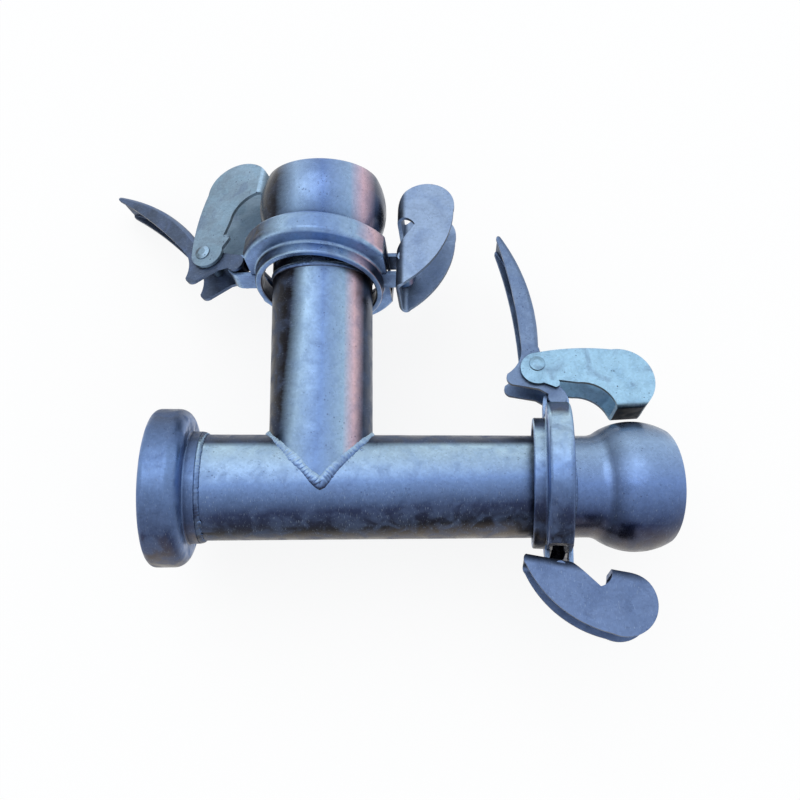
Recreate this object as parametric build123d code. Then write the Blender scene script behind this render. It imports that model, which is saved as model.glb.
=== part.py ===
# Tube tee for quick-coupled irrigation and slurry pipe. The run has a flanged
# socket at one end and a ball at the other, and the branch ends in a like ball.
# Behind each ball a loose closure ring carries a fixed hook and a lever hook.
# Frame: origin at the centre of the socket's mouth, +X along the run towards
# its ball, +Y along the branch, +Z up from the floor that the tee lies on.
from build123d import *
from math import atan2, cos, degrees, hypot, radians, sin, sqrt, tan
import os

# Tubes, all of one size
TUBE_R = 54.0
TUBE_WALL = 3.0
SOCKET_L = 48.0
BRANCH_X = 168.0
RUN_SEAM_X = 421.0
BRANCH_SEAM_Y = 224.0
SADDLE_BEAD_R = 5.0
SEAM_BEAD_H = 1.5
SEAM_BEAD_HALF = 3.0

# Ball ends
BALL_R = 69.5
BALL_TO_SEAM = 79.0
BALL_TO_LIP = 33.0
BALL_WALL = 3.5
BALL_BLEND_R = 24.0
LIP_L = 5.0
LIP_WALL = 4.5
LIP_EDGE_R = 1.5

# Flanged socket and its seal
SOCKET_R = 80.0
SOCKET_BACK_X = 37.0
SOCKET_BACK_R = 13.0
SOCKET_EDGE_R = 7.0
SOCKET_NECK_R = 57.0
SOCKET_PLAY = 1.0
SEAT_END_X = 42.0
SEAL_R = 4.0
SEAL_X = 14.0
SEAL_PROUD = 1.5
SEAL_PLAY = 0.1

# Closure ring: a channel rim, a collar behind it and two strap ears
RING_R = 87.5
RING_RIM_W = 25.0
RING_WALL = 5.0
RING_EDGE_R = 5.0
RING_FRONT_R = 72.0
COLLAR_WALL = 7.0
COLLAR_BORE_R = 62.0
COLLAR_L = 13.5
COLLAR_EDGE_R = 2.0
EAR_FLAT_R = 74.0
EAR_TOP_R = 103.0
EAR_STRAP = 4.5
EAR_W = 28.0
EAR_DEPTH = 24.0

# Pieces that swing on the ears, all of one sheet, and their play
SHEET = 4.0
BAR_R = 6.0
PIN_PLAY = 0.08
SIDE_PLAY = 0.5
EAR_SIDE_PLAY = 2.5
HOOK_W = 56.0
RIVET_R = 6.0
RIVET_HEAD_R = 8.5
RIVET_HEAD_H = 2.5

# Places on the swinging pieces, from each one's pivot: forward, outward
HOOK_FOLD = (0.0, -8.0)
HOOK_FOLD_ANGLE = 13.5
HOOK_BEND_R = 10.0
HOOK_NOSE = (56.0, 37.5)
HOOK_NOSE_R = 31.0
HOOK_TIP = (49.0, 3.0)
HOOK_THROAT = (36.0, 21.0)
HOOK_HEEL = (9.0, -8.0)
HOOK_TAIL = (-27.0, -9.0)
HOOK_TAIL_R = 8.0
HOOK_BACK_BOW = 12.0
HOOK_WINDOW_HALF = 21.5
LEVER_RIVET = (-19.0, 38.0)
LEVER_TIP = (-46.5, 207.0)
LEVER_TIP_R = 4.0
LEVER_FRONT = (-14.5, 60.0)
LEVER_MIDDLE = (-19.0, 140.0)
LEVER_DEPTH = 19.0
LEVER_BEND_R = 5.5
LEVER_SHIN = (-6.0, 30.0)
LEVER_CALF = (-36.5, 47.0)
LEVER_KNEE = (-44.0, 25.0)
LEVER_KNEE_R = 9.0
LEVER_HEEL = (-19.0, 10.0)
LEVER_FOOT_R = 10.0
CATCH_REAR = (0.0, -5.0)
CATCH_REAR_R = 18.5
CATCH_BACK_BOW = 2.5
CATCH_NOSE = (86.0, -26.0)
CATCH_NOSE_R = 38.0
CATCH_CHIN_AIM = (96.0, -57.0)
CATCH_TIP = (80.0, -57.0)
CATCH_BEND_R = 7.0
CATCH_LIP = 0.5
CATCH_ARCH = (70.0, -37.0)
CATCH_ROOF = (42.0, -25.0)
CATCH_KNOB = (17.0, -24.0)
CATCH_KNOB_R = 5.0

# How each closure lies on its tube: the ring's centre along the tube and off
# its axis, its tilts, the slant of the lever's bar in its ear by droop and
# twist, and how far the hook, lever and catch have swung
RUN_CLOSURE = dict(along=417.0, aside=3.0, lift=6.0, yaw=-5.0, lean=-12.0, roll=-13.0,
                   droop=0.0, twist=4.5, hook=-5.0, lever=5.0, catch=6.0)
BRANCH_CLOSURE = dict(along=236.0, aside=1.5, lift=-2.8, yaw=-2.5, lean=16.0, roll=-11.0,
                      droop=-10.0, twist=0.0, hook=-16.0, lever=-47.0, catch=-2.0)

# Sizes that follow from those above
BORE_R = TUBE_R - TUBE_WALL
MOUTH_R = BALL_R + SOCKET_PLAY
COLLAR_R = COLLAR_BORE_R + COLLAR_WALL
EAR_ARCH_R = EAR_W / 2 - EAR_STRAP
PIVOT_R = EAR_TOP_R - EAR_STRAP - PIN_PLAY - BAR_R
LEVER_W = EAR_DEPTH + 2 * (EAR_SIDE_PLAY + SHEET)
CATCH_W = LEVER_W + 2 * (SIDE_PLAY + SHEET)
FAR = 500.0


def outline(points, radii):
    """A closed flat shape from its corners, each rounded by its own radius."""
    return make_face(FilletPolyline(*points, radius=radii, close=True))


def turned(points, radii):
    """A body of revolution about X from corners given as (along, radius)."""
    return revolve(outline(points, radii), Axis.X)


def disc(centre, radius):
    """A flat round face."""
    return Pos(*centre) * Circle(radius)


def pipe(radius, wall, start, end):
    """A straight tube along X."""
    length = end - start
    body = Cylinder(radius, length) - Cylinder(radius - wall, length)
    return Pos((start + end) / 2, 0, 0) * Rot(Y=90) * body


def branch_side():
    """The space that the branch takes: both mitre planes through the crossing."""
    corner = make_face(Polyline((0, 0), (FAR, FAR), (-FAR, FAR), close=True))
    return Pos(BRANCH_X, 0, 0) * extrude(corner, FAR, both=True)


def along_branch(part):
    """Carry a part made along +X onto the branch's axis."""
    return Pos(BRANCH_X, 0, 0) * Rot(Z=90) * part


def run_tube():
    """The run from the socket to its ball, mitred where the branch joins."""
    return pipe(TUBE_R, TUBE_WALL, SOCKET_L, RUN_SEAM_X) - branch_side()


def branch_tube():
    """The branch, mitred to fit the run."""
    return along_branch(pipe(TUBE_R, TUBE_WALL, 0, BRANCH_SEAM_Y)) & branch_side()


def saddle_weld():
    """The bead that follows the two half ellipses where the tubes meet."""
    bead = None
    for turn in (45, -45):
        across = Plane((0, 0, 0), x_dir=(sin(radians(turn)), cos(radians(turn)), 0),
                       z_dir=(cos(radians(turn)), -sin(radians(turn)), 0))
        ridge = across * EllipticalCenterArc((0, 0), TUBE_R * sqrt(2), TUBE_R, -90, arc_size=180)
        section = Plane(ridge @ 0, z_dir=ridge % 0) * Circle(SADDLE_BEAD_R)
        half = sweep(section, path=ridge)
        bead = half if bead is None else bead + half
    for side in (1, -1):
        bead += Pos(0, 0, side * TUBE_R) * Sphere(SADDLE_BEAD_R)
    run_core = Rot(Y=90) * Cylinder(TUBE_R, FAR)
    branch_core = Rot(X=90) * Cylinder(TUBE_R, FAR)
    return Pos(BRANCH_X, 0, 0) * (bead - run_core - branch_core)


def seam_weld(at):
    """A low round bead over a butt seam."""
    crown = TUBE_R + SEAM_BEAD_H
    arc = ThreePointArc((at - SEAM_BEAD_HALF, TUBE_R), (at, crown), (at + SEAM_BEAD_HALF, TUBE_R))
    base = Line((at + SEAM_BEAD_HALF, TUBE_R), (at - SEAM_BEAD_HALF, TUBE_R))
    return revolve(make_face([arc, base]), Axis.X)


def socket():
    """The flanged collar that takes the next pipe's ball, with its seal's groove."""
    groove_r = MOUTH_R - SEAL_PROUD + 2 * SEAL_R + SEAL_PLAY
    half = SEAL_R + SEAL_PLAY
    seat_x = SEAL_X + half + SEAL_R
    points = [(0, MOUTH_R), (0, SOCKET_R), (SOCKET_BACK_X, SOCKET_R), (SOCKET_BACK_X, SOCKET_NECK_R),
              (SOCKET_L, SOCKET_NECK_R), (SOCKET_L, BORE_R), (SEAT_END_X, BORE_R), (seat_x, MOUTH_R),
              (SEAL_X + half, MOUTH_R), (SEAL_X + half, groove_r), (SEAL_X - half, groove_r),
              (SEAL_X - half, MOUTH_R)]
    radii = [0, SOCKET_EDGE_R, SOCKET_BACK_R, 2, 0, 0, 0, 0, 0, 0, 0, 0]
    return turned(points, radii)


def socket_weld():
    """The fillet weld between the socket's neck and the run."""
    leg = 2 * (SOCKET_NECK_R - TUBE_R)
    points = [(SOCKET_L, TUBE_R), (SOCKET_L, SOCKET_NECK_R), (SOCKET_L + leg / 2, SOCKET_NECK_R - 0.5),
              (SOCKET_L + leg, TUBE_R)]
    return turned(points, [0, 0, 2, 0])


def socket_seal():
    """The rubber ring that lies in the socket's groove."""
    centre_r = MOUTH_R - SEAL_PROUD + SEAL_R
    return Pos(SEAL_X, 0, 0) * Rot(Y=90) * Torus(centre_r, SEAL_R)


def ball_end():
    """A pressed ball along +X with its seam at the origin, open at the lip."""
    lip_x = BALL_TO_SEAM + BALL_TO_LIP
    shell = (Rot(Y=90) * Cylinder(TUBE_R, lip_x, align=(Align.CENTER, Align.CENTER, Align.MIN))
             + Pos(BALL_TO_SEAM, 0, 0) * Sphere(BALL_R))
    shell = fillet(shell.edges().filter_by(GeomType.CIRCLE).group_by(Axis.X)[1], BALL_BLEND_R)
    shell = split(shell, bisect_by=Plane((lip_x, 0, 0), z_dir=(1, 0, 0)), keep=Keep.BOTTOM)
    shell = fillet(shell.edges().group_by(Axis.X)[-1], LIP_EDGE_R)
    inner_r = BALL_R - BALL_WALL
    room = (Rot(Y=90) * Cylinder(BORE_R, lip_x, align=(Align.CENTER, Align.CENTER, Align.MIN))
            + Pos(BALL_TO_SEAM, 0, 0) * Sphere(inner_r))
    room = fillet(room.edges().filter_by(GeomType.CIRCLE).group_by(Axis.X)[1],
                  BALL_BLEND_R + BALL_WALL)
    room = split(room, bisect_by=Plane((lip_x - LIP_L, 0, 0), z_dir=(1, 0, 0)), keep=Keep.BOTTOM)
    mouth_r = sqrt(BALL_R ** 2 - BALL_TO_LIP ** 2) - LIP_WALL
    mouth = Pos(lip_x, 0, 0) * Rot(Y=90) * Cylinder(mouth_r, 2 * LIP_L)
    return shell - room - mouth


def closure_ring():
    """The loose ring: channel rim, collar, two flats and two strap ears."""
    half = RING_RIM_W / 2
    rim_in = RING_R - RING_WALL
    points = [(-half - COLLAR_L, COLLAR_BORE_R), (-half - COLLAR_L, COLLAR_R), (-half, COLLAR_R),
              (-half, RING_R), (half, RING_R), (half, RING_FRONT_R), (half - RING_WALL, RING_FRONT_R),
              (half - RING_WALL, rim_in), (RING_WALL - half, rim_in), (RING_WALL - half, COLLAR_BORE_R)]
    radii = [COLLAR_EDGE_R, COLLAR_EDGE_R, 3, RING_EDGE_R, RING_EDGE_R, 1, 1, 2, 2, COLLAR_EDGE_R]
    ring = turned(points, radii)
    for side in (1, -1):
        ring -= Pos(0, side * (EAR_FLAT_R + FAR / 2), 0) * Box(FAR, FAR, FAR)
        ring += Rot(X=0 if side > 0 else 180) * ear()
    return ring


def ear():
    """A strap bent to an arch over the pivot bar, standing on the rim's walls."""
    root = EAR_FLAT_R - RING_WALL - 1
    arch_y = EAR_TOP_R - EAR_W / 2
    strap = None
    for radius, cut in ((EAR_W / 2, 0), (EAR_ARCH_R, 1)):
        face = disc((0, arch_y), radius) + Pos(0, (root + arch_y) / 2 - cut) * Rectangle(
            2 * radius, arch_y - root + 2 * cut)
        strap = face if strap is None else strap - face
    return extrude(strap, EAR_DEPTH / 2, both=True)


def cheeks(face, width):
    """The two side walls of a piece folded from sheet."""
    wall = extrude(face, SHEET)
    return Pos(0, 0, width / 2 - SHEET) * wall + Pos(0, 0, -width / 2) * wall


def folded(face, width, fold, angle, bend_r):
    """A piece cut to the face's outline from a sheet folded to a channel."""
    core = RectangleRounded(2 * FAR, width, bend_r)
    hollow = RectangleRounded(2 * FAR, width - 2 * SHEET, bend_r - SHEET)
    section = Pos(FAR, 0) * core - Pos(FAR + SHEET, 0) * hollow
    across = Plane((*fold, 0), x_dir=(-sin(radians(angle)), cos(radians(angle)), 0),
                   z_dir=(cos(radians(angle)), sin(radians(angle)), 0))
    return extrude(across * section, FAR, both=True) & extrude(face, width / 2, both=True)


def bar(width):
    """The round bar that a piece swings on, inside an ear."""
    return Cylinder(BAR_R, width - SHEET)


def on_circle(centre, radius, angle):
    """A point on a circle, with its angle in degrees from forward."""
    return (centre[0] + radius * cos(radians(angle)), centre[1] + radius * sin(radians(angle)))


def tangent_angle(point, centre, radius, side):
    """Where a line from the point touches a circle, as an angle from its centre."""
    away = (point[0] - centre[0], point[1] - centre[1])
    spread = degrees(atan2(sqrt(hypot(*away) ** 2 - radius ** 2), radius))
    return degrees(atan2(away[1], away[0])) + side * spread


def hook_outline():
    """The hook's cheek: a rounded tail, a throat for the flange and a full nose."""
    lip = tangent_angle(HOOK_TIP, HOOK_NOSE, HOOK_NOSE_R, 1)
    back = on_circle(HOOK_TAIL, HOOK_TAIL_R, 140)
    shoulder = on_circle(HOOK_NOSE, HOOK_NOSE_R, 118)
    run = (shoulder[0] - back[0], shoulder[1] - back[1])
    bow = ((back[0] + shoulder[0]) / 2 - run[1] / hypot(*run) * HOOK_BACK_BOW,
           (back[1] + shoulder[1]) / 2 + run[0] / hypot(*run) * HOOK_BACK_BOW)
    belly = on_circle(HOOK_TAIL, HOOK_TAIL_R, -75)
    chin = on_circle(HOOK_NOSE, HOOK_NOSE_R, lip)
    edges = [
        ThreePointArc(belly, on_circle(HOOK_TAIL, HOOK_TAIL_R, 200), back),
        ThreePointArc(back, bow, shoulder),
        ThreePointArc(shoulder, on_circle(HOOK_NOSE, HOOK_NOSE_R, 10), chin),
        Line(chin, HOOK_TIP),
        ThreePointArc(HOOK_TIP, (HOOK_TIP[0] - 3, HOOK_THROAT[1] - 6), HOOK_THROAT),
        Line(HOOK_THROAT, HOOK_HEEL),
        Line(HOOK_HEEL, belly),
    ]
    return make_face(edges)


def hook():
    """The fixed hook, folded from sheet, with a window that lets the ear in."""
    blank = folded(hook_outline(), HOOK_W, HOOK_FOLD, HOOK_FOLD_ANGLE, HOOK_BEND_R)
    opening = Box(2 * HOOK_WINDOW_HALF, 2 * HOOK_WINDOW_HALF, HOOK_W - 2 * HOOK_BEND_R)
    return blank - Rot(Z=HOOK_FOLD_ANGLE) * opening + bar(HOOK_W)


def lever_outline():
    """The lever's cheek: foot, knee and a bowed handle that tapers to its tip."""
    back = LEVER_FRONT[0] - LEVER_DEPTH
    front = [LEVER_FRONT, LEVER_MIDDLE, (LEVER_TIP[0] + LEVER_TIP_R, LEVER_TIP[1])]
    rear = [(LEVER_TIP[0] - LEVER_TIP_R, LEVER_TIP[1]),
            (LEVER_MIDDLE[0] - LEVER_DEPTH, LEVER_MIDDLE[1] - LEVER_TIP_R), (back, LEVER_FRONT[1])]
    knee_out = on_circle(LEVER_KNEE, LEVER_KNEE_R, 150)
    knee_in = on_circle(LEVER_KNEE, LEVER_KNEE_R, -95)
    foot = on_circle((0, 0), LEVER_FOOT_R, 160)
    toe = on_circle((0, 0), LEVER_FOOT_R, 25)
    edges = [
        ThreePointArc(*front),
        ThreePointArc(front[-1], (LEVER_TIP[0], LEVER_TIP[1] + LEVER_TIP_R), rear[0]),
        ThreePointArc(*rear),
        ThreePointArc(rear[-1], LEVER_CALF, knee_out),
        ThreePointArc(knee_out, on_circle(LEVER_KNEE, LEVER_KNEE_R, 200), knee_in),
        Line(knee_in, LEVER_HEEL),
        Line(LEVER_HEEL, foot),
        ThreePointArc(foot, on_circle((0, 0), LEVER_FOOT_R, -80), toe),
        ThreePointArc(toe, LEVER_SHIN, front[0]),
    ]
    return make_face(edges) - disc(LEVER_RIVET, RIVET_R + PIN_PLAY)


def arched(face, width, arc, bend_r):
    """A piece cut to the face's outline from a channel whose web follows an arc."""
    depth = 4 * LEVER_DEPTH
    core = Pos(arc.radius - depth / 2, 0) * RectangleRounded(depth, width, bend_r)
    inside = RectangleRounded(depth, width - 2 * SHEET, bend_r - SHEET)
    hollow = Pos(arc.radius - depth / 2 - SHEET, 0) * inside
    centre = arc.arc_center
    channel = Pos(centre.X, centre.Y, 0) * revolve(Plane.XZ * (core - hollow), Axis.Z)
    return channel & extrude(face + Pos(SHEET / 2, 0) * face, width / 2, both=True)


def lever():
    """The lever: a channel with its web forward, two bare cheeks below, and a bar."""
    face = lever_outline()
    below = Pos(0, LEVER_FRONT[1] - FAR) * Rectangle(2 * FAR, 2 * FAR)
    spine = ThreePointArc(LEVER_FRONT, LEVER_MIDDLE, (LEVER_TIP[0] + LEVER_TIP_R, LEVER_TIP[1]))
    handle = arched(face - below, LEVER_W, spine, LEVER_BEND_R)
    return handle + cheeks(face & below, LEVER_W) + bar(LEVER_W)


def catch_outline():
    """The catch's cheek: a round end at the rivet, a wide arch and a full nose."""
    knob_top = on_circle(CATCH_KNOB, CATCH_KNOB_R, 40)
    knob_low = on_circle(CATCH_KNOB, CATCH_KNOB_R, -90)
    aim = degrees(atan2(CATCH_CHIN_AIM[1] - CATCH_NOSE[1], CATCH_CHIN_AIM[0] - CATCH_NOSE[0]))
    chin = on_circle(CATCH_NOSE, CATCH_NOSE_R, aim)
    crown = on_circle(CATCH_NOSE, CATCH_NOSE_R, 95)
    top = (CATCH_REAR[0], CATCH_REAR[1] + CATCH_REAR_R)
    rear_low = on_circle(CATCH_REAR, CATCH_REAR_R, -75)
    edges = [
        ThreePointArc(top, ((top[0] + crown[0]) / 2, max(top[1], crown[1]) + CATCH_BACK_BOW), crown),
        ThreePointArc(crown, on_circle(CATCH_NOSE, CATCH_NOSE_R, 0), chin),
        Line(chin, CATCH_TIP),
        ThreePointArc(CATCH_TIP, CATCH_ARCH, CATCH_ROOF),
        Line(CATCH_ROOF, knob_top),
        ThreePointArc(knob_top, on_circle(CATCH_KNOB, CATCH_KNOB_R, -30), knob_low),
        Line(knob_low, rear_low),
        ThreePointArc(rear_low, on_circle(CATCH_REAR, CATCH_REAR_R, 180), top),
    ]
    return make_face(edges) - disc((0, 0), RIVET_R + PIN_PLAY)


def catch():
    """The lever's hook: two cheeks, joined by the fold under the nose."""
    return folded(catch_outline(), CATCH_W, (0, CATCH_TIP[1] + CATCH_LIP), 0, CATCH_BEND_R)


def catch_rivet():
    """The rivet through the catch and the lever, with a low head at each end."""
    shank = Cylinder(RIVET_R, CATCH_W + 2 * PIN_PLAY)
    seat = CATCH_W / 2 + PIN_PLAY
    profile = outline([(0, seat), (RIVET_HEAD_R, seat), (RIVET_HEAD_R, seat + RIVET_HEAD_H / 2),
                       (RIVET_HEAD_R / 2, seat + RIVET_HEAD_H), (0, seat + RIVET_HEAD_H)], [0, 0, 1, 2, 0])
    head = revolve(Plane.XZ * profile, Axis.Z)
    return shank + head + Rot(X=180) * head


def swung(point, angle):
    """A flat point turned about the pivot, nose outward for a positive angle."""
    a = radians(angle)
    return (point[0] * cos(a) - point[1] * sin(a), point[0] * sin(a) + point[1] * cos(a))


def closure_place(lie, on_branch):
    """Where a closure's own frame lies: +X forward, +Y its lever side."""
    tube = Pos(BRANCH_X, 0, 0) * Rot(Z=90) if on_branch else Location()
    tilt = Rot(X=lie["roll"]) * Rot(Y=lie["lean"]) * Rot(Z=lie["yaw"])
    return tube * Pos(lie["along"], lie["aside"], lie["lift"]) * tilt


def lever_seat(lie):
    """The lever's bar in its ear, aslant by its play but still under the strap."""
    slant = radians(abs(lie["droop"]))
    drop = BAR_R * (1 / cos(slant) - 1) + EAR_DEPTH / 2 * (tan(slant) + tan(radians(abs(lie["twist"]))) / 3)
    return Pos(0, PIVOT_R - drop, 0) * Rot(X=lie["droop"]) * Rot(Y=lie["twist"])


def closure(lie):
    """One closure in its own frame, each piece swung as it lies in the photograph."""
    seat = lever_seat(lie)
    at = Pos(*swung(LEVER_RIVET, lie["lever"]), 0)
    return {
        "ring": closure_ring(),
        "hook": Rot(X=180) * Pos(0, PIVOT_R, 0) * Rot(Z=lie["hook"]) * hook(),
        "lever": seat * Rot(Z=lie["lever"]) * lever(),
        "catch": seat * at * Rot(Z=lie["catch"]) * catch(),
        "rivet": seat * at * catch_rivet(),
    }


def build():
    """Every piece of the tee by name, in its place."""
    ball = ball_end()
    pieces = {
        "run_tube": run_tube(),
        "branch_tube": branch_tube(),
        "saddle_weld": saddle_weld(),
        "socket": socket(),
        "socket_weld": socket_weld(),
        "socket_seal": socket_seal(),
        "run_ball": Pos(RUN_SEAM_X, 0, 0) * ball,
        "run_ball_weld": seam_weld(RUN_SEAM_X),
        "branch_ball": along_branch(Pos(BRANCH_SEAM_Y, 0, 0) * ball),
        "branch_ball_weld": along_branch(seam_weld(BRANCH_SEAM_Y)),
    }
    for side, lie in (("run", RUN_CLOSURE), ("branch", BRANCH_CLOSURE)):
        place = closure_place(lie, side == "branch")
        for name, piece in closure(lie).items():
            pieces[f"{side}_{name}"] = place * piece
    return pieces


os.makedirs("parts", exist_ok=True)
for node, solid in build().items():
    export_step(solid, f"parts/{node}.step")
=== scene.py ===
"""Looks of a hot-dip galvanised quick-coupling tube tee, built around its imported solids."""

from __future__ import annotations

import logging
import math
from dataclasses import dataclass
from enum import Enum
from typing import Iterable, Sequence

import bpy
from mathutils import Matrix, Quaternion, Vector, noise


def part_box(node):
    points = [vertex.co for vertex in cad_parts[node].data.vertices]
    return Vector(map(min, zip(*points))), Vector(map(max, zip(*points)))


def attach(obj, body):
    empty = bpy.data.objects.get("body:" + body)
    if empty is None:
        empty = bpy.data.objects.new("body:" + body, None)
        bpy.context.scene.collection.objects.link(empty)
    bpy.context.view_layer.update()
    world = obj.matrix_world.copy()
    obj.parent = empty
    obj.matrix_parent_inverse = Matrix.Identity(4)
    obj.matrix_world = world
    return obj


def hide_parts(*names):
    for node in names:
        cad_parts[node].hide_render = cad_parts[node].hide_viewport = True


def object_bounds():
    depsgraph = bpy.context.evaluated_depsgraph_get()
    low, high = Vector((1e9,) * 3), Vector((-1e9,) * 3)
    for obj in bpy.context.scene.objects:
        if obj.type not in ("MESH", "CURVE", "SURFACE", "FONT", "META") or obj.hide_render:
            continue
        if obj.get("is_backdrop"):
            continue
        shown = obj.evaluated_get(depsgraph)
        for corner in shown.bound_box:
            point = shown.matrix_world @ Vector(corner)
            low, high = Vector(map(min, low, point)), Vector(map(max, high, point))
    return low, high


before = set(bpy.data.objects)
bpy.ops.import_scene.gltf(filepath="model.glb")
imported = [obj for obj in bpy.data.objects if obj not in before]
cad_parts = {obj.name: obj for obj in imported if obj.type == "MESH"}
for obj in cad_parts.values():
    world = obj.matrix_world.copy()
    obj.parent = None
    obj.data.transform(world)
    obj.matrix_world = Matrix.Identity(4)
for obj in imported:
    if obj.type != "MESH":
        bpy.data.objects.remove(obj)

log = logging.getLogger("tube_tee")

Colour = tuple[float, float, float]
Band = tuple[float, tuple[int, int, int]]
MM = 0.001


def linear(red: int, green: int, blue: int) -> Colour:
    """A screen colour as the linear values that a shader takes.

    Args:
        red: Red from 0 to 255.
        green: Green from 0 to 255.
        blue: Blue from 0 to 255.

    Returns:
        The same colour in linear light.
    """
    shares = (red / 255, green / 255, blue / 255)
    return tuple(c / 12.92 if c <= 0.04045 else ((c + 0.055) / 1.055) ** 2.4 for c in shares)


class Across(Enum):
    """The way in which a piece's reflections change from side to side."""

    RUN = 1
    BRANCH = 0


class Graph:
    """The node tree of a material or a world, put together with short calls."""

    def __init__(self, owner: bpy.types.Material | bpy.types.World, output: str = "OutputMaterial") -> None:
        """Empty the owner's tree.

        Args:
            owner: The material or world.
            output: The type of its output node, without its common prefix.
        """
        self.owner = owner
        owner.use_nodes = True
        self.tree = owner.node_tree
        self.tree.nodes.clear()
        self.output = self.node(output)

    def shine(self, shader: bpy.types.Node) -> bpy.types.Material | bpy.types.World:
        """Send a shader to the output.

        Args:
            shader: The shader's node.

        Returns:
            The tree's owner.
        """
        self.tree.links.new(shader.outputs[0], self.output.inputs[0])
        return self.owner

    def seen(self) -> bpy.types.NodeSocket:
        """1 for rays from the camera, a mirror or clear glass, and 0 for all others.

        Returns:
            The number's socket.
        """
        path = self.node("LightPath")
        direct = self.math("MAXIMUM", path.outputs["Is Camera Ray"], path.outputs["Is Glossy Ray"])
        return self.math("MAXIMUM", direct, path.outputs["Is Transmission Ray"])

    def about_zero(self, value: object, width: float) -> bpy.types.NodeSocket:
        """A number from 0 to 1, moved to lie about 0.

        Args:
            value: The number's socket.
            width: How far apart its ends then lie.

        Returns:
            The moved number's socket.
        """
        return self.math("MULTIPLY", self.math("SUBTRACT", value, 0.5), width)

    def node(self, kind: str, inputs: dict | None = None, **settings: object) -> bpy.types.Node:
        """Add a node.

        Args:
            kind: The node's type, without its common prefix.
            inputs: Values or sockets for its inputs, by name or index.
            **settings: Properties of the node.

        Returns:
            The new node.
        """
        made = self.tree.nodes.new("ShaderNode" + kind)
        for key, value in settings.items():
            setattr(made, key, value)
        for key, value in (inputs or {}).items():
            if isinstance(value, bpy.types.NodeSocket):
                self.tree.links.new(value, made.inputs[key])
            else:
                made.inputs[key].default_value = value
        return made

    def math(self, operation: str, a: object, b: object = 0.0, clamp: bool = False) -> bpy.types.NodeSocket:
        """One sum of two numbers.

        Args:
            operation: The sum's name.
            a: The first number or socket.
            b: The second number or socket.
            clamp: Whether the result is kept from 0 to 1.

        Returns:
            The result's socket.
        """
        return self.node("Math", {0: a, 1: b}, operation=operation, use_clamp=clamp).outputs[0]

    def mix(self, share: object, a: object, b: object, blend: str = "MIX") -> bpy.types.NodeSocket:
        """Two colours mixed.

        Args:
            share: How much of the second colour, as a number or socket.
            a: The first colour or socket.
            b: The second colour or socket.
            blend: The way in which they mix.

        Returns:
            The mixed colour's socket.
        """
        def full(colour: object) -> object:
            return (*colour, 1.0) if isinstance(colour, tuple) else colour
        made = self.node("Mix", {0: share, 6: full(a), 7: full(b)}, data_type="RGBA", blend_type=blend)
        return made.outputs[2]

    def ramp(self, value: object, bands: Sequence[Band]) -> bpy.types.NodeSocket:
        """A colour looked up along a row of bands.

        Args:
            value: The place along the row, from 0 to 1.
            bands: Places from -1 to 1, each with its screen colour.

        Returns:
            The colour's socket.
        """
        made = self.node("ValToRGB", {0: value})
        stops = made.color_ramp.elements
        for index, (place, colour) in enumerate(bands):
            position = (place + 1) / 2
            stop = stops[index] if index < 2 else stops.new(position)
            stop.position = position
            stop.color = (*linear(*colour), 1.0)
        return made.outputs[0]

    def step(self, value: object, low: float, high: float, top: float = 1.0) -> bpy.types.NodeSocket:
        """A soft step from 0 to a top value.

        Args:
            value: The number that is compared.
            low: Where the step starts.
            high: Where it ends, which may be under the start.
            top: The value past the end.

        Returns:
            The step's socket.
        """
        made = self.node("MapRange", {0: value, 1: low, 2: high, 3: 0.0, 4: top},
                         interpolation_type="SMOOTHSTEP")
        return made.outputs[0]

    def noise(self, at: object, scale: float, detail: float = 3.0, stretch: Sequence[float] = (1, 1, 1),
              warp: float = 0.0) -> bpy.types.NodeSocket:
        """Cloudy noise.

        Args:
            at: The place's socket.
            scale: Clouds to a metre.
            detail: How many finer layers it has.
            stretch: The scale along each axis, as a share.
            warp: How much it is bent by itself.

        Returns:
            The noise's socket, from 0 to 1.
        """
        placed = self.node("Mapping", {"Vector": at, "Scale": tuple(stretch)}).outputs[0]
        return self.node("TexNoise", {"Vector": placed, "Scale": scale, "Detail": detail,
                                      "Distortion": warp}).outputs[0]


# Plain tones in steps of ten for painted reflections: dark ground, the metal's own blue grey, and the sky
EARTH, SHADE, DEEP, DIM = (90, 80, 70), (10, 10, 20), (40, 50, 80), (60, 70, 90)
STEEL, AIR, BRIGHT = (110, 140, 190), (150, 180, 210), (180, 210, 230)
BLUSH, CLEAR = (210, 180, 190), (240, 240, 250)

# What the metal mirrors, from where its normal points down the axis (-1) to where it points up it (1)
RUN_BANDS: tuple[Band, ...] = (
    (-1.0, EARTH), (-0.7, SHADE), (-0.4, DEEP), (0.1, STEEL), (0.7, BRIGHT), (0.8, DIM), (1.0, DIM),
)
SOCKET_BANDS: tuple[Band, ...] = ((-1.0, EARTH), (-0.6, DEEP), (0.2, STEEL), (1.0, DIM))
BRANCH_BANDS: tuple[Band, ...] = (
    (-1.0, SHADE), (-0.7, SHADE), (-0.4, AIR), (0.0, STEEL), (0.4, AIR), (0.6, BLUSH), (0.8, DIM),
)
BALL_BANDS: tuple[Band, ...] = ((-1.0, EARTH), (-0.6, DEEP), (0.0, STEEL), (0.6, AIR), (1.0, DIM))
BALL_SIDE_BANDS: tuple[Band, ...] = ((-1.0, DIM), (-0.6, DEEP), (-0.3, CLEAR), (0.7, CLEAR), (1.0, BLUSH))
BRANCH_BALL_SIDE_BANDS: tuple[Band, ...] = ((-1.0, AIR), (0.0, CLEAR), (1.0, CLEAR))

# The marks of the zinc coat, and the dark tone of the painted shade in corners and gaps
BLOOM, STAIN, CORNER_SHADE = (246, 250, 254), (88, 104, 138), (22, 24, 40)
FRECKLE, SCRATCH, SCORE = (44, 52, 84), (186, 206, 226), (40, 48, 80)
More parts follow.
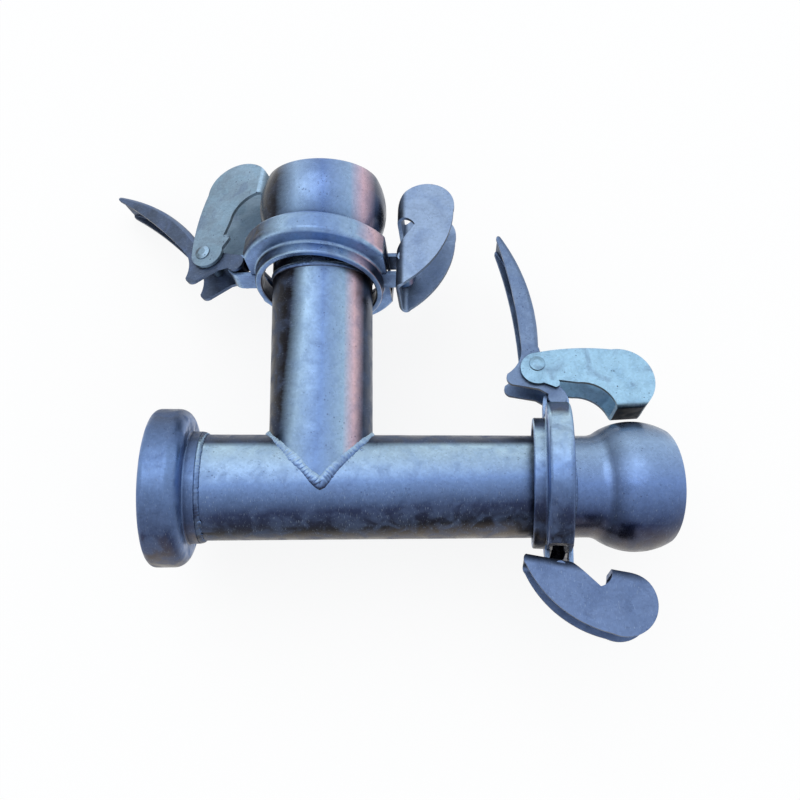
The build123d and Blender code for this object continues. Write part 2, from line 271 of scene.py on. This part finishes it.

# Hook, catch and lever of each closure, where their sheet looks up; Closure.sheet paints shade on faces
# turned away
RUN_SHEETS = ((96, 118, 158), (150, 190, 218), (108, 130, 164))
BRANCH_SHEETS = ((148, 172, 206), (164, 194, 220), (98, 116, 146))


@dataclass(frozen=True)
class Zinc:
    """A hot-dip zinc coat: broad bands of painted light from side to side under clouds, freckles and
    scratches, and painted shade in corners and gaps.
    """

    name: str
    # bands and side_bands hold painted light: reflections of ground and sky on tubes, balls, rings and
    # welds, and shade on the closures' sheet
    bands: tuple[Band, ...]
    across: Across
    side_bands: tuple[Band, ...] = ()
    haze: tuple[int, int, int] = (120, 142, 184)
    haze_share: float = 0.22
    haze_scale: float = 60.0
    wobble: float = 0.10
    ragged: tuple[float, float] = (0.5, -0.1)
    lean: float = 0.0
    lean_from: float = 0.0
    roughness: float = 0.30
    metallic: float = 0.82
    freckles: float = 0.5
    scratches: float = 0.35
    edge_round: float = 0.5
    # How strongly the painted shade darkens corners, creases and gaps between parts
    corner_shade: float = 0.9
    stain: float = 0.10
    rake_scale: float = 90.0
    drift_scale: float = 14.0
    drift_share: float = 3.0
    steady: float = 0.12
    side_share: float = 0.78
    haze_depth: float = 0.42
    grain_scale: float = 420.0
    grain_depth: float = 0.16
    corner_reach: float = 30.0 * MM
    relief: float = 0.7 * MM

    def material(self) -> bpy.types.Material:
        """Build the coat's material.

        Returns:
            The material.
        """
        g = Graph(bpy.data.materials.new(self.name))
        where = g.node("TexCoord")
        at, facing = where.outputs["Object"], where.outputs["Normal"]
        turned = g.node("SeparateXYZ", {0: facing})
        around = (1, 6, 6) if self.across is Across.RUN else (6, 1, 6)
        along = tuple(7 - share for share in around)
        rake = g.noise(at, self.rake_scale, 4.0, along)
        drift = g.noise(at, self.drift_scale, 3.0)
        clouds = g.noise(at, self.haze_scale, 7.0, warp=0.6)
        shift = g.math("ADD", g.about_zero(rake, self.wobble),
                       g.about_zero(drift, self.wobble * self.drift_share))
        place = g.node("SeparateXYZ", {0: at}).outputs[1 - self.across.value]
        slope = g.math("MULTIPLY", g.math("SUBTRACT", place, self.lean_from), self.lean)
        loose = g.step(turned.outputs[self.across.value], *self.ragged)
        loose = g.math("ADD", g.math("MULTIPLY", loose, 1.0 - self.steady), self.steady)
        shift = g.math("MULTIPLY", g.math("ADD", shift, slope), loose)
        # Painted light: colour bands set by the way the surface faces; round pieces mix in a second row
        # along the other axis
        colour = self._banded(g, turned.outputs[self.across.value], shift, self.bands)
        if self.side_bands:
            other = self._banded(g, turned.outputs[1 - self.across.value], shift, self.side_bands)
            colour = g.mix(self.side_share, colour, other, "MULTIPLY")
        haze = g.math("MULTIPLY", g.step(clouds, 0.40, 0.68), self.haze_share)
        bloom = g.mix(1.0, g.mix(self.haze_depth, colour, linear(*self.haze)), linear(*BLOOM), "MULTIPLY")
        colour = g.mix(haze, colour, bloom)
        stain = g.step(g.noise(at, 26.0, 6.0, warp=1.2), 0.56, 0.66)
        colour = g.mix(g.math("MULTIPLY", stain, self.stain), colour, linear(*STAIN))
        cells = g.node("TexVoronoi", {"Vector": at, "Scale": self.grain_scale}).outputs["Color"]
        cell = g.node("SeparateXYZ", {0: cells}).outputs[0]
        grain = g.math("ADD", g.about_zero(cell, self.grain_depth), 1.0)
        grey = g.node("CombineXYZ", {0: grain, 1: grain, 2: grain}).outputs[0]
        colour = g.mix(1.0, colour, grey, "MULTIPLY")
        colour = self._marked(g, at, around, along, clouds, colour)
        # Painted shade: darker in corners, creases and gaps between parts, found by ambient occlusion
        corners = g.node("AmbientOcclusion", {"Distance": self.corner_reach}, samples=6).outputs["AO"]
        painted_shade = g.math("MULTIPLY", g.step(corners, 0.80, 0.22), self.corner_shade)
        colour = g.mix(painted_shade, colour, linear(*CORNER_SHADE))
        rough = g.math("ADD", g.math("MULTIPLY", clouds, 0.30), self.roughness - 0.12)
        rough = g.math("ADD", rough, g.math("MULTIPLY", haze, 0.35), clamp=True)
        return g.shine(g.node("BsdfPrincipled", {"Base Color": colour, "Roughness": rough,
                                                 "Normal": self._surface(g, at, around, clouds),
                                                 "Metallic": self.metallic}))

    def _banded(self, g: Graph, facing: bpy.types.NodeSocket, shift: bpy.types.NodeSocket,
                bands: Sequence[Band]) -> bpy.types.NodeSocket:
        """The bands' painted light for the way a spot faces.

        Args:
            g: The material's graph.
            facing: The way in which the spot faces, from -1 to 1.
            shift: How far the bands' edges wander there.
            bands: The bands.

        Returns:
            The colour's socket.
        """
        place = g.math("ADD", g.math("MULTIPLY", facing, 0.5), 0.5)
        return g.ramp(g.math("ADD", place, g.math("MULTIPLY", shift, 0.5), clamp=True), bands)

    def _marked(self, g: Graph, at: bpy.types.NodeSocket, around: Sequence[float], along: Sequence[float],
                clouds: bpy.types.NodeSocket, colour: bpy.types.NodeSocket) -> bpy.types.NodeSocket:
        """The colour with freckles, pale scratches and dark scores.

        Args:
            g: The material's graph.
            at: The place's socket.
            around: The stretch that draws marks around the tube.
            along: The stretch that draws marks along the tube.
            clouds: The cloudy noise.
            colour: The colour so far.

        Returns:
            The colour's socket.
        """
        spots = g.node("TexVoronoi", {"Vector": at, "Scale": 240.0}).outputs["Distance"]
        sparse = g.step(g.noise(at, 55.0, 2.0), 0.52, 0.66)
        dots = g.math("MULTIPLY", g.step(spots, 0.26, 0.12), sparse)
        colour = g.mix(g.math("MULTIPLY", dots, self.freckles), colour, linear(*FRECKLE))
        fine = g.noise(at, 260.0, 2.0, (along[0], along[1], 1))
        pale = g.math("MULTIPLY", g.step(fine, 0.62, 0.74), self.scratches)
        colour = g.mix(g.math("MULTIPLY", pale, clouds), colour, linear(*SCRATCH))
        scores = g.noise(at, 120.0, 2.0, (around[0] * 2.4, around[1] * 2.4, 2))
        dark = g.math("MULTIPLY", g.step(scores, 0.66, 0.74), self.scratches * 1.2)
        return g.mix(dark, colour, linear(*SCORE))

    def _surface(self, g: Graph, at: bpy.types.NodeSocket, around: Sequence[float],
                 clouds: bpy.types.NodeSocket) -> bpy.types.NodeSocket:
        """The fine relief: rounded edges, a rippled coat and drawing marks.

        Args:
            g: The material's graph.
            at: The place's socket.
            around: The stretch that draws marks around the tube.
            clouds: The cloudy noise.

        Returns:
            The normal's socket.
        """
        edge = g.node("Bevel", {"Radius": self.edge_round * MM}, samples=4).outputs[0]
        skin = g.math("ADD", g.math("MULTIPLY", clouds, 0.7),
                      g.math("MULTIPLY", g.noise(at, 300.0, 3.0, around), 0.16))
        return g.node("Bump", {"Height": skin, "Strength": 0.35, "Distance": self.relief,
                               "Normal": edge}).outputs[0]


@dataclass(frozen=True)
class Rubber:
    """Black rubber with a fine bloom."""

    name: str
    roughness: float = 0.62

    def material(self) -> bpy.types.Material:
        """Build the rubber's material.

        Returns:
            The material.
        """
        g = Graph(bpy.data.materials.new(self.name))
        at = g.node("TexCoord").outputs["Object"]
        bloom = g.noise(at, 90.0, 5.0)
        colour = g.mix(g.step(bloom, 0.4, 0.75), linear(24, 24, 26), linear(58, 58, 62))
        rough = g.math("ADD", g.math("MULTIPLY", bloom, 0.2), self.roughness - 0.1)
        bump = g.node("Bump", {"Height": g.noise(at, 700.0, 2.0), "Strength": 0.2, "Distance": 0.2 * MM})
        return g.shine(g.node("BsdfPrincipled", {"Base Color": colour, "Roughness": rough,
                                                 "Normal": bump.outputs[0]}))


def mesh_piece(name: str, points: Sequence[Vector], faces: Sequence[Sequence[int]]) -> bpy.types.Object:
    """A smooth mesh object.

    Args:
        name: The piece's name.
        points: Its corners, in metres.
        faces: Its faces, as indices of corners.

    Returns:
        The object, linked to the scene.
    """
    mesh = bpy.data.meshes.new(name)
    mesh.from_pydata([tuple(p) for p in points], [], [tuple(f) for f in faces])
    mesh.validate()
    mesh.shade_smooth()
    made = bpy.data.objects.new(name, mesh)
    bpy.context.scene.collection.objects.link(made)
    return made


def ring_faces(rows: int, columns: int) -> list[tuple[int, int, int, int]]:
    """Faces of a closed tube of rows round a loop, each row closed on itself.

    Args:
        rows: How many sections lie round the loop.
        columns: How many corners a section has.

    Returns:
        The faces, as indices row by row.
    """
    faces = []
    for row in range(rows):
        after = (row + 1) % rows
        for column in range(columns):
            beside = (column + 1) % columns
            faces.append((row * columns + column, after * columns + column,
                          after * columns + beside, row * columns + beside))
    return faces


def crescent(distance: float, across: float, pitch: float, seed: float) -> float:
    """The height of a weld's overlapping ripples, from 0 to 1.

    Args:
        distance: How far along the bead, in metres.
        across: Where on its width, from -1 to 1.
        pitch: The ripples' spacing, in metres.
        seed: A number that sets this bead apart.

    Returns:
        The height's share.
    """
    wander = noise.noise(Vector((distance * 90, across, seed))) * 0.8
    phase = distance / pitch + 0.55 * across * across + wander
    ripple = (phase - math.floor(phase)) ** 0.6
    lump = noise.noise(Vector((distance * 240, across * 1.7, seed + 5)))
    return min(1.0, max(0.0, 0.55 + 0.34 * ripple + 0.28 * lump))


@dataclass
class SeamWeld:
    """A low rippled bead round a butt seam, in place of its plain solid."""

    node: str
    across: Across
    tube_radius: float
    pitch: float = 4.2 * MM
    rows: int = 420
    columns: int = 12

    def build(self, finish: bpy.types.Material) -> bpy.types.Object:
        """Make the bead.

        Args:
            finish: Its material.

        Returns:
            The bead.
        """
        low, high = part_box(self.node)
        axis = 0 if self.across is Across.RUN else 1
        middle, half = (low[axis] + high[axis]) / 2, (high[axis] - low[axis]) / 2
        other = 1 - axis
        centre, crown = (low[other] + high[other]) / 2, (high[other] - low[other]) / 2
        points = []
        for row in range(self.rows):
            angle = 2 * math.pi * row / self.rows
            for column in range(self.columns):
                turn = 2 * math.pi * column / self.columns
                width, rise = math.cos(turn), math.sin(turn)
                lift = crescent(angle * crown, width, self.pitch, middle * 50)
                grown = rise * (crown - self.tube_radius) * lift if rise > 0 else rise * MM
                radius = self.tube_radius + grown
                spot = [0.0, 0.0, radius * math.sin(angle)]
                spot[axis] = middle + half * width * 0.96
                spot[other] = centre + radius * math.cos(angle)
                points.append(Vector(spot))
        made = mesh_piece(self.node + "_bead", points, ring_faces(self.rows, self.columns))
        return dressed(made, finish, "tee", "weld_zinc", self.node)


@dataclass
class SocketWeld:
    """The rippled fillet between the socket's neck and the run."""

    tube_radius: float
    node: str = "socket_weld"
    pitch: float = 4.8 * MM
    rows: int = 460
    columns: int = 12

    def build(self, finish: bpy.types.Material) -> bpy.types.Object:
        """Make the fillet.

        Args:
            finish: Its material.

        Returns:
            The fillet.
        """
        low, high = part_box(self.node)
        start, leg, rise = low.x, high.x - low.x, high.z - self.tube_radius
        points = []
        for row in range(self.rows):
            angle = 2 * math.pi * row / self.rows
            for column in range(self.columns):
                turn = 2 * math.pi * column / self.columns
                out, along = math.cos(turn), math.sin(turn)
                lift = crescent(angle * high.z, along, self.pitch, 3.0)
                reach = max(0.0, along) * leg * (0.72 + 0.26 * lift)
                radius = self.tube_radius + (out * rise * (0.7 + 0.29 * lift) if out > 0 else out * MM)
                points.append(Vector((start - 0.4 * MM + reach, radius * math.cos(angle),
                                      radius * math.sin(angle))))
        made = mesh_piece(self.node + "_bead", points, ring_faces(self.rows, self.columns))
        return dressed(made, finish, "tee", "weld_zinc", self.node)


@dataclass
class SaddleWeld:
    """The hand-laid bead that follows the crossing of the run and the branch."""

    tube_radius: float
    branch_x: float
    node: str = "saddle_weld"
    radius: float = 6.2 * MM
    pitch: float = 4.2 * MM
    rows: int = 900
    columns: int = 18

    def _ridge(self, share: float) -> tuple[Vector, Vector, Vector]:
        """A point of the crossing with the normals of both tubes there.

        Args:
            share: How far round the crossing, from 0 to 1.

        Returns:
            The point, the run's normal and the branch's normal.
        """
        turn = 4 * math.pi * share
        side = 1 if share < 0.5 else -1
        angle = turn / 2 if share < 0.5 else 2 * math.pi - turn / 2
        out, up = math.sin(angle), math.cos(angle)
        point = Vector((self.branch_x + side * self.tube_radius * out, self.tube_radius * out,
                        self.tube_radius * up))
        return point, Vector((0, out, up)), Vector((side * out, 0, up))

    def build(self, finish: bpy.types.Material) -> bpy.types.Object:
        """Make the bead.

        Args:
            finish: Its material.

        Returns:
            The bead.
        """
        ridge = [self._ridge(row / self.rows) for row in range(self.rows)]
        points = []
        travelled = 0.0
        for row, (point, run_normal, branch_normal) in enumerate(ridge):
            before, after = ridge[row - 1][0], ridge[(row + 1) % self.rows][0]
            tangent = (after - before).normalized()
            travelled += (point - before).length if row else 0.0
            out = (run_normal + branch_normal).normalized()
            side = tangent.cross(out).normalized()
            sink = 0.9 * MM
            for column in range(self.columns):
                turn = 2 * math.pi * column / self.columns
                width, rise = math.cos(turn), math.sin(turn)
                lift = crescent(travelled, width, self.pitch, 9.0)
                swell = 0.92 + 0.42 * noise.noise(Vector((travelled * 55, 2.0 + 0.4 * width, 1.0)))
                height = rise * (self.radius * (0.20 + 0.44 * lift)) * swell if rise > 0 else rise * 2 * MM
                points.append(point + side * width * self.radius * swell + out * (height - sink))
        for spot in points:
            self._keep_out(spot)
        made = mesh_piece(self.node + "_bead", points, ring_faces(self.rows, self.columns))
        return dressed(made, finish, "tee", "weld_zinc", self.node)

    def _keep_out(self, spot: Vector) -> None:
        """Push a corner of the bead's root out of the bore, into the tubes' walls.

        Args:
            spot: The corner, which is moved.
        """
        shell = self.tube_radius - 1.6 * MM
        depth = math.hypot(spot.y, spot.z)
        if depth < shell:
            spot.y *= shell / depth
            spot.z *= shell / depth


@dataclass
class ZincDrips:
    """Beads of zinc and spatter that froze on the neck of the socket and by the welds."""

    tube_radius: float
    branch_x: float
    # Each is a place along the run in mm, degrees from its top and a radius in mm
    neck: tuple[tuple[float, float, float], ...] = (
        (51.5, -43, 3.3), (50.5, -22, 2.0), (52.0, 18, 1.3), (53.0, -62, 1.5),
        (51.0, 96, 1.8), (52.5, 171, 2.4), (51.0, 230, 1.6))
    spatter: tuple[tuple[float, float, float], ...] = (
        (-38, 44, 1.3), (41, 40, 1.5), (12, 8, 1.7), (-22, 15, 1.2), (58, 30, 1.0))

    def places(self) -> list[tuple[Vector, Vector, float]]:
        """Where the drips sit.

        Returns:
            For each drip its foot, the way out of the surface, and its radius.
        """
        found = []
        for drops, start, lift in ((self.neck, 0.0, 0.8 * MM), (self.spatter, self.branch_x, 0.0)):
            for x_mm, degrees, size_mm in drops:
                turn = math.radians(degrees)
                out = Vector((0, math.sin(turn), math.cos(turn)))
                foot = out * (self.tube_radius + lift) + Vector((start + x_mm * MM, 0, 0))
                found.append((foot, out, size_mm * MM))
        return found

    def build(self, finish: bpy.types.Material) -> bpy.types.Object:
        """Make all drips as one piece.

        Args:
            finish: Their material.

        Returns:
            The drips.
        """
        points: list[Vector] = []
        faces: list[tuple[int, ...]] = []
        rings, spokes = 8, 16
        for foot, out, size in self.places():
            first = len(points)
            side = out.cross(Vector((1, 0, 0))).normalized()
            along = out.cross(side)
            for ring in range(rings):
                lift = math.pi / 2 * ring / rings
                for spoke in range(spokes):
                    turn = 2 * math.pi * spoke / spokes
                    blunt = 1 + 0.12 * noise.noise(Vector((turn, lift * 2, size * 900)))
                    flat = size * math.cos(lift) * blunt
                    points.append(foot + side * flat * math.cos(turn) * 1.25 + along * flat * math.sin(turn)
                                  + out * (size * 0.62 * math.sin(lift) - 0.3 * MM))
            points.append(foot + out * (size * 0.62 - 0.3 * MM))
            points.append(foot - out * MM)
            for ring in range(rings - 1):
                for spoke in range(spokes):
                    beside = (spoke + 1) % spokes
                    a, b = first + ring * spokes, first + (ring + 1) * spokes
                    faces.append((a + spoke, a + beside, b + beside, b + spoke))
            top, root = len(points) - 2, len(points) - 1
            last = first + (rings - 1) * spokes
            for spoke in range(spokes):
                beside = (spoke + 1) % spokes
                faces.append((last + spoke, last + beside, top))
                faces.append((first + beside, first + spoke, root))
        made = mesh_piece("zinc_drips", points, faces)
        return dressed(made, finish, "tee", "weld_zinc")


def dressed(piece: bpy.types.Object, finish: bpy.types.Material, body: str, slot: str,
            *nodes: str) -> bpy.types.Object:
    """Give a new piece its material and body, and report it.

    Args:
        piece: The piece.
        finish: Its material.
        body: The body that it rides on.
        slot: The record's material slot that it takes its finish from; not used.
        *nodes: The solids that it stands for.

    Returns:
        The piece.
    """
    piece.data.materials.append(finish)
    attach(piece, body)
    if nodes:
        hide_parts(*nodes)
    log.info("piece %s rides on %s", piece.name, body)
    return piece


class Body:
    """The welded body of the tee: tubes, socket, ball ends, welds and seal."""

    def __init__(self) -> None:
        """Read the tube's radius and the branch's place from the solids."""
        low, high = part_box("branch_tube")
        self.tube_radius = (high.x - low.x) / 2
        self.branch_x = (high.x + low.x) / 2

    def dress(self) -> None:
        """Give the solids their finishes and lay the welds."""
        paint(["run_tube"], Zinc("run_tube_zinc", RUN_BANDS, Across.RUN, wobble=0.06, haze_share=0.5,
                                 lean=-0.6, lean_from=0.33, scratches=0.5))
        paint(["branch_tube"], Zinc("branch_tube_zinc", BRANCH_BANDS, Across.BRANCH, wobble=0.06,
                                    haze_share=0.4, ragged=(0.1, -0.3), lean=-1.4, lean_from=0.11))
        paint(["run_ball"], Zinc("run_ball_zinc", BALL_BANDS, Across.RUN, BALL_SIDE_BANDS, wobble=0.05,
                                 roughness=0.24))
        paint(["branch_ball"], Zinc("branch_ball_zinc", BRANCH_BANDS, Across.BRANCH, BRANCH_BALL_SIDE_BANDS,
                                    roughness=0.22, wobble=0.05))
        paint(["socket"], Zinc("socket_zinc", SOCKET_BANDS, Across.RUN, haze_share=0.7, wobble=0.12))
        paint(["socket_seal"], Rubber("seal_rubber"))
        # Weld beads: the run's painted reflection bands, and weaker painted shade in corners
        bead = Zinc("weld_bead_zinc", RUN_BANDS, Across.RUN, haze=(140, 162, 198), haze_share=0.8,
                    wobble=0.3, roughness=0.30, corner_shade=0.6).material()
        SeamWeld("run_ball_weld", Across.RUN, self.tube_radius).build(bead)
        SeamWeld("branch_ball_weld", Across.BRANCH, self.tube_radius).build(bead)
        SocketWeld(self.tube_radius).build(bead)
        SaddleWeld(self.tube_radius, self.branch_x).build(bead)
        ZincDrips(self.tube_radius, self.branch_x).build(bead)


@dataclass
class Closure:
    """One loose closure: its ring, hook, lever, rivet and catch."""

    side: str
    across: Across
    bands: tuple[Band, ...]
    hook: tuple[int, int, int]
    catch: tuple[int, int, int]
    lever: tuple[int, int, int]

    @staticmethod
    def sheet(colour: tuple[int, int, int]) -> tuple[Band, ...]:
        """Bands of painted shade for flat sheet, darker where its edges and folds turn away.

        Args:
            colour: The screen colour of a face that looks up.

        Returns:
            The bands.
        """
        shades = ((-1.0, 0.26), (-0.5, 0.50), (-0.18, 0.97), (0.18, 1.0), (0.5, 0.80), (1.0, 0.50))
        return tuple((place, tuple(int(part * shade) for part in colour)) for place, shade in shades)

    def dress(self) -> None:
        """Give the closure's pieces their finishes."""
        side = self.side
        paint([f"{side}_ring"], Zinc(f"{side}_ring_zinc", self.bands, self.across, haze_share=0.6,
                                     wobble=0.10, roughness=0.28, stain=0.3))
        paint([f"{side}_catch", f"{side}_rivet"],
              Zinc(f"{side}_catch_zinc", self.sheet(self.catch), self.across, haze=(178, 210, 228),
                   haze_share=0.6, roughness=0.42, metallic=0.7, freckles=0.9, scratches=0.6, stain=0.35))
        paint([f"{side}_hook"],
              Zinc(f"{side}_hook_zinc", self.sheet(self.hook), self.across, haze_share=0.5,
                   haze_scale=40.0, roughness=0.40, metallic=0.7, freckles=0.35, scratches=0.4, stain=0.15))
        paint([f"{side}_lever"],
              Zinc(f"{side}_lever_zinc", self.sheet(self.lever), self.across, haze_share=0.5,
                   haze_scale=50.0, roughness=0.34, metallic=0.8, freckles=0.6, scratches=0.5, stain=0.5))


def paint(nodes: Iterable[str], finish: Zinc | Rubber) -> None:
    """Give solids a finish.

    Args:
        nodes: The solids' names.
        finish: The finish.
    """
    material = finish.material()
    for name in nodes:
        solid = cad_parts[name]
        if not solid.material_slots:
            solid.data.materials.append(material)
        for slot in solid.material_slots:
            slot.material = material
        log.info("solid %s wears %s", name, material.name)


@dataclass
class Studio:
    """A plain pale floor, soft light and the photograph's camera."""

    floor_half: float = 8.0
    sky: float = 0.72
    sun: float = 0.8
    sheen: float = 0.42
    floor_glow: float = 0.86
    white: tuple[float, float, float, float] = (1.0, 1.0, 1.0, 1.0)
    card: tuple[float, float, float, float] = (0.96, 0.96, 0.96, 1.0)
    sky_tone: tuple[float, float, float, float] = (0.92, 0.96, 1.0, 1.0)
    sun_from: tuple[float, float, float] = (-0.45, 0.55, 1.0)
    sheen_from: tuple[float, float, float] = (-0.30, 0.50, 1.0)
    sun_spread: float = 60.0
    sheen_spread: float = 50.0
    camera_at: tuple[float, float, float] = (0.182793, -0.049838, 0.786581)
    camera_turn: tuple[float, float, float] = (0.178363, -0.085942, -0.000188)
    sensor_mm: float = 36.0
    lens_mm: float = 33.75

    def build(self) -> None:
        """Put up the floor, the light and the camera."""
        self._floor()
        self._world()
        self._lamp("key", self.sun, self.sun_from, self.sun_spread).visible_glossy = False
        self._lamp("sheen", self.sheen, self.sheen_from, self.sheen_spread)
        self._camera()
        bpy.context.scene.view_settings.view_transform = "Standard"

    def _floor(self) -> None:
        """A pale floor just under the object."""
        low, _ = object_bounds()
        half, z = self.floor_half, low.z - 0.2 * MM
        corners = ((-half, -half), (half, -half), (half, half), (-half, half))
        floor = mesh_piece("floor", [Vector((x, y, z)) for x, y in corners], [(0, 1, 2, 3)])
        g = Graph(bpy.data.materials.new("floor_card"))
        card = g.node("BsdfDiffuse", {"Color": self.card}).outputs[0]
        glow = g.node("Emission", {"Color": self.white, "Strength": 1.0}).outputs[0]
        share = g.math("MULTIPLY", g.seen(), self.floor_glow)
        floor.data.materials.append(g.shine(g.node("MixShader", {0: share, 1: card, 2: glow})))
        floor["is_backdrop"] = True

    def _world(self) -> None:
        """A soft pale sky that looks white to the camera and in reflections."""
        world = bpy.data.worlds.new("studio")
        bpy.context.scene.world = world
        g = Graph(world, "OutputWorld")
        soft = g.node("Background", {"Color": self.sky_tone, "Strength": self.sky}).outputs[0]
        white = g.node("Background", {"Color": self.white, "Strength": 1.0}).outputs[0]
        g.shine(g.node("MixShader", {0: g.seen(), 1: soft, 2: white}))

    def _lamp(self, name: str, strength: float, towards: Sequence[float], spread: float) -> bpy.types.Object:
        """A far lamp with a broad face.

        Args:
            name: The lamp's name.
            strength: Its light on a facing surface.
            towards: The way from the object to the lamp.
            spread: The angle that its face fills, in degrees.

        Returns:
            The lamp.
        """
        data = bpy.data.lights.new(name, "SUN")
        data.energy = strength
        data.angle = math.radians(spread)
        lamp = bpy.data.objects.new(name, data)
        lamp.rotation_mode = "QUATERNION"
        lamp.rotation_quaternion = Vector(towards).to_track_quat("Z", "Y")
        bpy.context.scene.collection.objects.link(lamp)
        return lamp

    def _camera(self) -> None:
        """The camera where the photograph was taken from."""
        data = bpy.data.cameras.new("camera")
        data.sensor_width = self.sensor_mm
        data.lens = self.lens_mm
        data.clip_start = 0.01
        camera = bpy.data.objects.new("camera", data)
        camera.location = self.camera_at
        turn = Vector(self.camera_turn)
        camera.rotation_mode = "QUATERNION"
        camera.rotation_quaternion = Quaternion(turn.normalized(), turn.length)
        bpy.context.scene.collection.objects.link(camera)
        bpy.context.scene.camera = camera


def main() -> None:
    """Build the looks piece by piece."""
    logging.basicConfig(level=logging.INFO, format="%(message)s")
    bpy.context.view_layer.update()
    Body().dress()
    Closure("run", Across.RUN, RUN_BANDS, *RUN_SHEETS).dress()
    Closure("branch", Across.BRANCH, BRANCH_BANDS, *BRANCH_SHEETS).dress()
    Studio().build()


if __name__ == "__main__":
    main()
